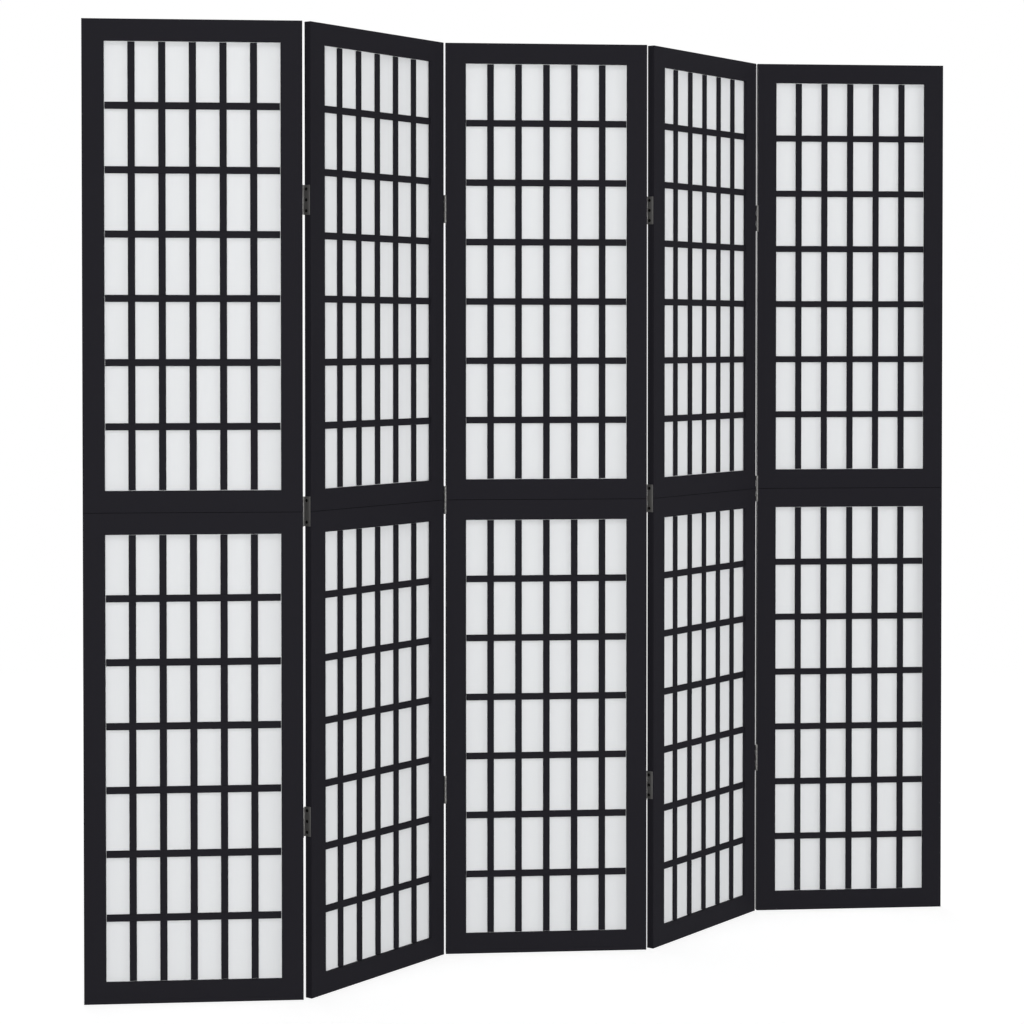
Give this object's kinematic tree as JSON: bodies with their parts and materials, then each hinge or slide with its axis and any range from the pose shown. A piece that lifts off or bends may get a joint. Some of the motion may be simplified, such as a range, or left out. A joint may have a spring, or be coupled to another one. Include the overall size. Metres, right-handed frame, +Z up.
{
  "type": "folding screen",
  "caption": "Folding room screen: hinged panels with black wooden frames and an upright-and-cross lattice over white fabric, standing on the floor as a zigzag.",
  "frame": {"origin": "on the floor under the centre of the middle panel, which is also the centre of the screen's footprint", "axes": "+X along the screen's line, from left to right as seen from the front; +Y towards the back; +Z up"},
  "size_m": [1.8672, 0.1792, 1.8],
  "materials": {
    "black_frame_wood": "matte black paint",
    "black_lattice_wood": "matte black paint",
    "white_fabric": "fine plain weave",
    "bronzed_hinge": "satin dark bronze",
    "bronzed_screw": "satin dark bronze",
    "pin_steel": "bright drawn",
    "bare_dowel_wood": "bare"
  },
  "bodies": {
    "panel_1": {"panel_1_lower_stiles": "black_frame_wood", "panel_1_lower_rails": "black_frame_wood", "panel_1_lower_lattice": "black_lattice_wood", "panel_1_lower_fabric": "white_fabric", "panel_1_upper_stiles": "black_frame_wood", "panel_1_upper_rails": "black_frame_wood", "panel_1_upper_lattice": "black_lattice_wood", "panel_1_upper_fabric": "white_fabric", "panel_1_hinge_leaves": "bronzed_hinge", "panel_1_hinge_screws": "bronzed_screw", "panel_1_dowels": "bare_dowel_wood"},
    "panel_2": {"panel_2_lower_stiles": "black_frame_wood", "panel_2_lower_rails": "black_frame_wood", "panel_2_lower_lattice": "black_lattice_wood", "panel_2_lower_fabric": "white_fabric", "panel_2_upper_stiles": "black_frame_wood", "panel_2_upper_rails": "black_frame_wood", "panel_2_upper_lattice": "black_lattice_wood", "panel_2_upper_fabric": "white_fabric", "panel_2_hinge_leaves": "bronzed_hinge", "panel_2_hinge_screws": "bronzed_screw", "panel_2_dowels": "bare_dowel_wood", "hinge_pins_1_2": "pin_steel", "hinge_pins_2_3": "pin_steel"},
    "panel_3": {"panel_3_lower_stiles": "black_frame_wood", "panel_3_lower_rails": "black_frame_wood", "panel_3_lower_lattice": "black_lattice_wood", "panel_3_lower_fabric": "white_fabric", "panel_3_upper_stiles": "black_frame_wood", "panel_3_upper_rails": "black_frame_wood", "panel_3_upper_lattice": "black_lattice_wood", "panel_3_upper_fabric": "white_fabric", "panel_3_hinge_leaves": "bronzed_hinge", "panel_3_hinge_screws": "bronzed_screw", "panel_3_dowels": "bare_dowel_wood"},
    "panel_4": {"panel_4_lower_stiles": "black_frame_wood", "panel_4_lower_rails": "black_frame_wood", "panel_4_lower_lattice": "black_lattice_wood", "panel_4_lower_fabric": "white_fabric", "panel_4_upper_stiles": "black_frame_wood", "panel_4_upper_rails": "black_frame_wood", "panel_4_upper_lattice": "black_lattice_wood", "panel_4_upper_fabric": "white_fabric", "panel_4_hinge_leaves": "bronzed_hinge", "panel_4_hinge_screws": "bronzed_screw", "panel_4_dowels": "bare_dowel_wood", "hinge_pins_3_4": "pin_steel", "hinge_pins_4_5": "pin_steel"},
    "panel_5": {"panel_5_lower_stiles": "black_frame_wood", "panel_5_lower_rails": "black_frame_wood", "panel_5_lower_lattice": "black_lattice_wood", "panel_5_lower_fabric": "white_fabric", "panel_5_upper_stiles": "black_frame_wood", "panel_5_upper_rails": "black_frame_wood", "panel_5_upper_lattice": "black_lattice_wood", "panel_5_upper_fabric": "white_fabric", "panel_5_hinge_leaves": "bronzed_hinge", "panel_5_hinge_screws": "bronzed_screw", "panel_5_dowels": "bare_dowel_wood"}
  },
  "joints": [
    {"name": "fold_2_3", "type": "hinge", "parent": "panel_3", "child": "panel_2", "pos_m": [-0.18715, 0.07452, 0.9], "axis": [0, 0, 1], "range_deg": [-49, 131]},
    {"name": "fold_3_4", "type": "hinge", "parent": "panel_3", "child": "panel_4", "pos_m": [0.18715, -0.07452, 0.9], "axis": [0, 0, 1], "range_deg": [-49, 131]},
    {"name": "fold_1_2", "type": "hinge", "parent": "panel_2", "child": "panel_1", "pos_m": [-0.56144, -0.07452, 0.9], "axis": [0, 0, -1], "range_deg": [-49, 131]},
    {"name": "fold_4_5", "type": "hinge", "parent": "panel_4", "child": "panel_5", "pos_m": [0.56144, 0.07452, 0.9], "axis": [0, 0, -1], "range_deg": [-49, 131]}
  ],
  "couplings": [
    {"joint": "fold_3_4", "follows": "fold_2_3", "ratio": 1}
  ]
}
